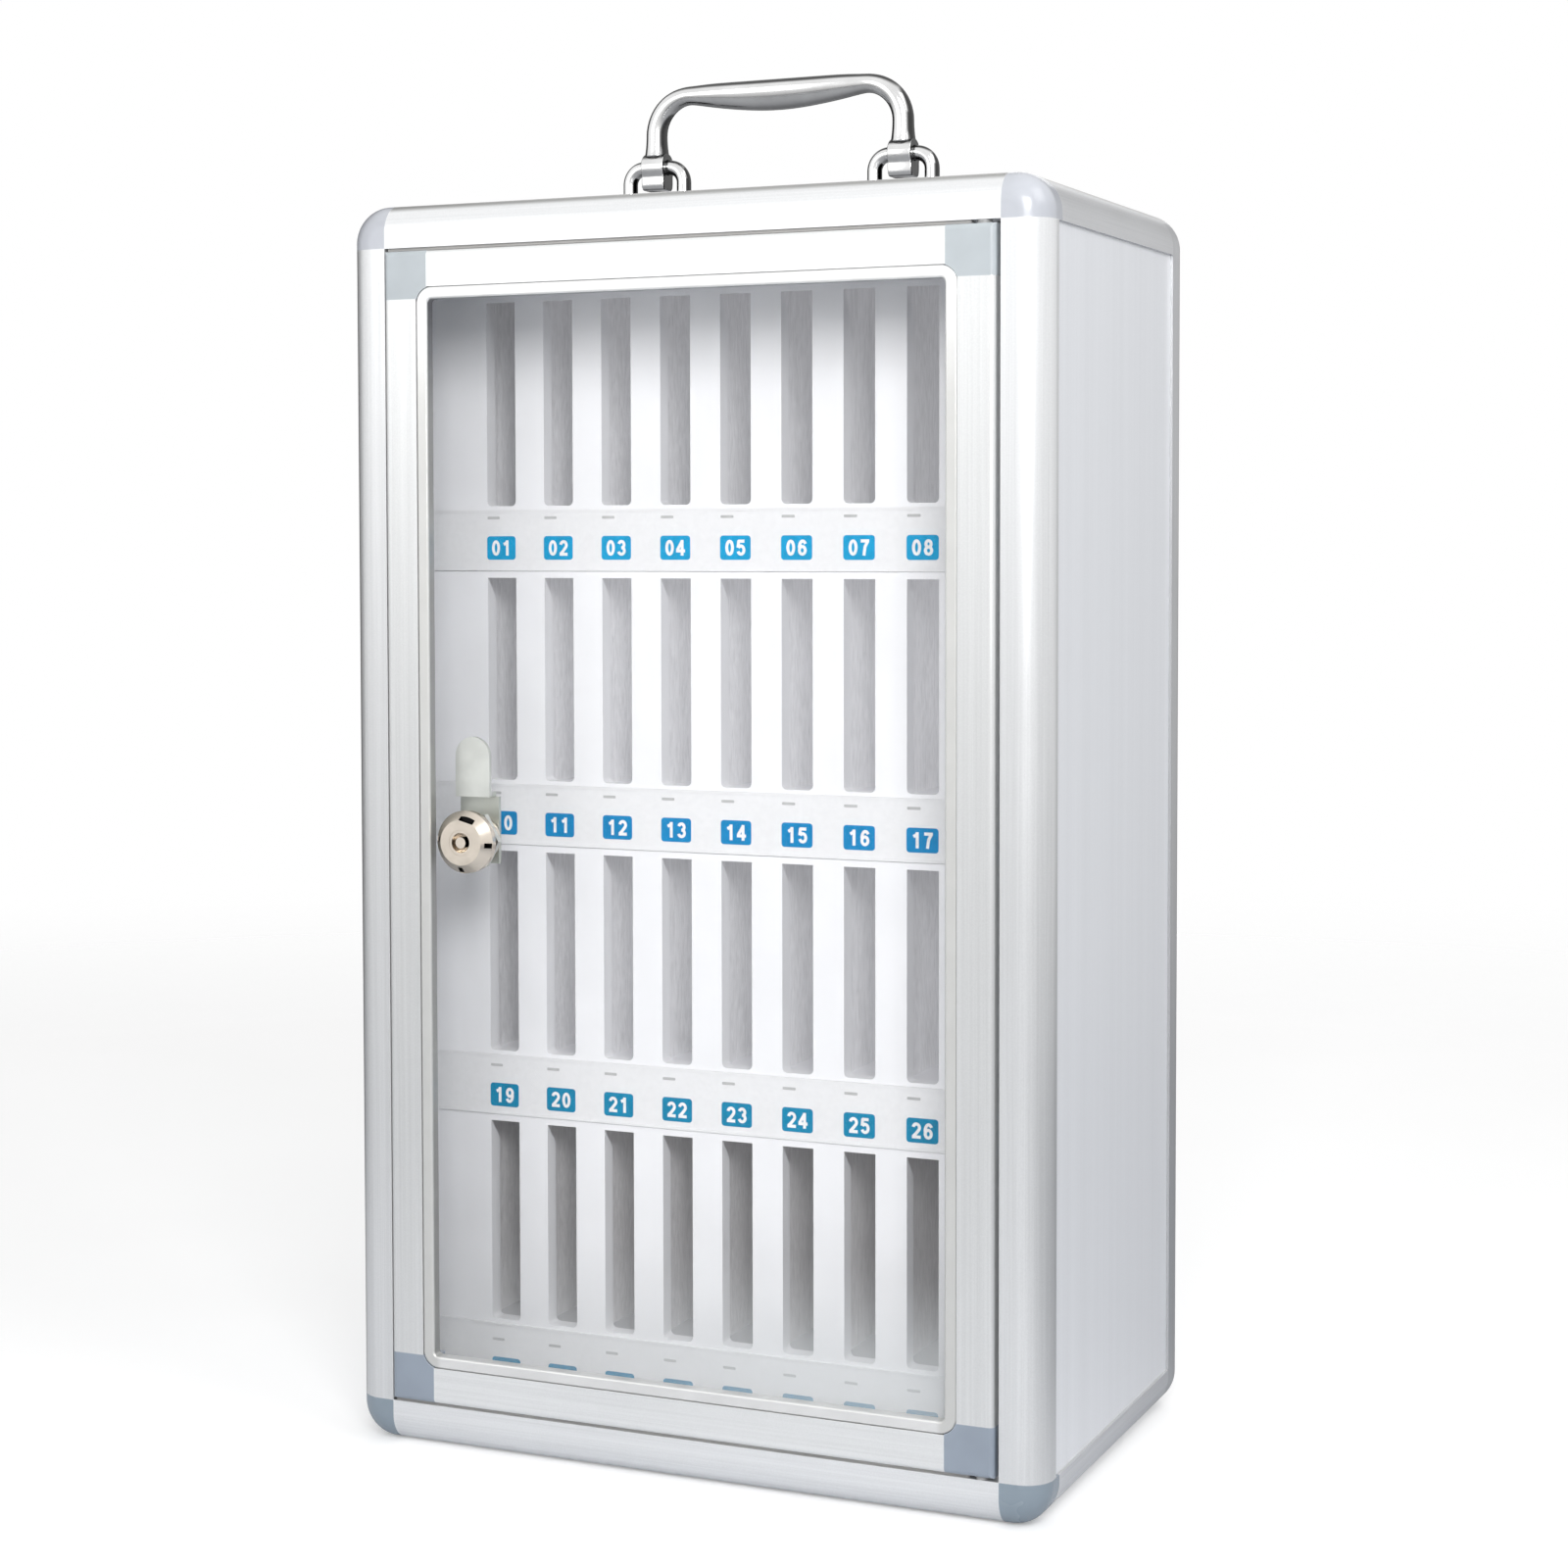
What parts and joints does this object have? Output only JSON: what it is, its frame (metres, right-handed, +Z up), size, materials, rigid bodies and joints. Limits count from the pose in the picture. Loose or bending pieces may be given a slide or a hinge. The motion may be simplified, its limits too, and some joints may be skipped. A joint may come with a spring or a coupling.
{
  "type": "cell phone locker box",
  "caption": "Upright aluminium framed cabinet with a framed clear door, a cam lock, a folding top handle and rows of narrow upright slots that each hold a phone.",
  "frame": {"origin": "middle of the underside, on the plane the cabinet stands on", "axes": "+Z up, +X to the right seen from the front, the door looks along -Y"},
  "size_m": [0.316, 0.208, 0.5988],
  "materials": {
    "aluminium_frame": "satin anodised, fine brushing along the rail",
    "cap_light": "smooth moulded, light grey blue",
    "cap_blue": "smooth moulded, grey blue",
    "aluminium_edge": "satin anodised, fine brushing along the rail",
    "panel_white": "white composite sheet with fine upright grain",
    "board_white": "white board",
    "lining_grey": "grey lined board",
    "slot_white": "white moulded sheet",
    "label_white": "white printed strip",
    "chrome": "bright chrome plating",
    "steel": "plain zinc plated steel",
    "stop_grey": "moulded grey",
    "aluminium_door": "satin anodised, fine brushing along the rail",
    "block_light": "moulded grey blue",
    "block_blue": "moulded grey blue",
    "bead_aluminium": "smooth anodised bead",
    "pane_clear": "clear sheet, polished",
    "washer_white": "plain washer",
    "lock_nickel": "nickel plated, slightly warm",
    "cam_zinc": "zinc plated sheet"
  },
  "bodies": {
    "cabinet": {"front_top_rail": "aluminium_frame", "front_bottom_rail": "aluminium_frame", "front_left_stile": "aluminium_frame", "front_right_stile": "aluminium_frame", "cap_top_left": "cap_light", "cap_top_right": "cap_light", "cap_bottom_left": "cap_blue", "cap_bottom_right": "cap_blue", "edge_top_left": "aluminium_edge", "edge_top_right": "aluminium_edge", "edge_bottom_left": "aluminium_edge", "edge_bottom_right": "aluminium_edge", "rear_top_rail": "aluminium_edge", "rear_bottom_rail": "aluminium_edge", "rear_left_stile": "aluminium_edge", "rear_right_stile": "aluminium_edge", "left_panel": "panel_white", "right_panel": "panel_white", "top_panel": "panel_white", "bottom_panel": "panel_white", "back_panel": "panel_white", "box_left_wall": "board_white", "box_right_wall": "board_white", "box_back": "lining_grey", "shelves": "board_white", "slot_panel_1": "slot_white", "slot_panel_2": "slot_white", "slot_panel_3": "slot_white", "slot_panel_4": "slot_white", "label_strip_1": "label_white", "label_strip_2": "label_white", "label_strip_3": "label_white", "label_strip_4": "label_white", "dividers_1": "lining_grey", "dividers_2": "lining_grey", "dividers_3": "lining_grey", "dividers_4": "lining_grey", "saddle_left": "chrome", "saddle_right": "chrome", "saddle_nuts": "steel", "door_stops": "stop_grey"},
    "door": {"door_top_rail": "aluminium_door", "door_bottom_rail": "aluminium_door", "door_left_rail": "aluminium_door", "door_right_rail": "aluminium_door", "door_corner_tl": "block_light", "door_corner_tr": "block_light", "door_corner_bl": "block_blue", "door_corner_br": "block_blue", "pane_bead": "bead_aluminium", "pane": "pane_clear", "hinge_pins": "steel", "hinge_washers": "washer_white", "lock_housing": "lock_nickel", "lock_nut": "steel"},
    "lock_cam": {"lock_plug": "lock_nickel", "lock_cam": "cam_zinc", "cam_nut": "steel"},
    "handle": {"handle_bail": "chrome"}
  },
  "joints": [
    {"name": "door_hinge", "type": "hinge", "parent": "cabinet", "child": "door", "pos_m": [0.1315, -0.097, 0.27], "axis": [0, 0, 1], "range_deg": [0, 105]},
    {"name": "lock_turn", "type": "hinge", "parent": "door", "child": "lock_cam", "pos_m": [-0.1015, -0.09, 0.266], "axis": [0, -1, 0], "range_deg": [0, 90]},
    {"name": "handle_fold", "type": "hinge", "parent": "cabinet", "child": "handle", "pos_m": [0, 0.007, 0.5626], "axis": [1, 0, 0], "range_deg": [-117, 117]}
  ]
}
